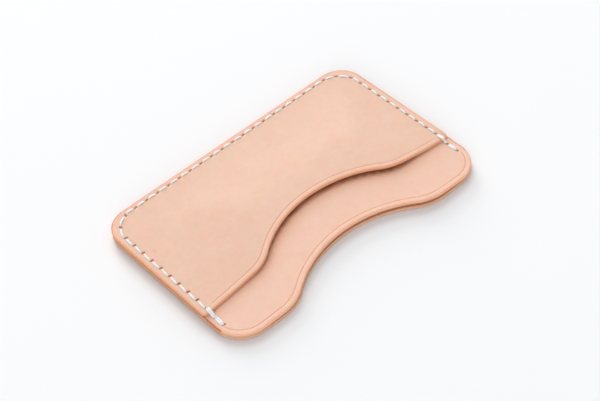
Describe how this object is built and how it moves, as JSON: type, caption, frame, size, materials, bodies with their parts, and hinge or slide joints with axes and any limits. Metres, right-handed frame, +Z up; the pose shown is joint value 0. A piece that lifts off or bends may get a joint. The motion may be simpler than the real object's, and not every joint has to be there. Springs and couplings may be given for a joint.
{
  "type": "card holder",
  "caption": "Flat leather card holder with stacked pockets, a curved front lip and a thumb scoop at the mouth, saddle stitched around three sides.",
  "frame": {"origin": "centre of the outline, on the surface that the holder rests on", "axes": "+X across the holder from its left side seam to its right, -Y out of the mouth, +Z up through the stack from the back panel to the front pocket"},
  "size_m": [0.092, 0.0604, 0.0049],
  "materials": {
    "back_leather": "natural vegetable-tanned, matte, burnished edges",
    "middle_leather": "natural vegetable-tanned, matte, creased along the mouth, burnished edges",
    "front_leather": "natural vegetable-tanned, matte, creased along the lip, burnished edges",
    "thread": "white waxed thread"
  },
  "bodies": {
    "root": {"back_panel": "back_leather", "middle_panel": "middle_leather", "front_pocket": "front_leather", "saddle_thread": "thread"}
  },
  "joints": []
}
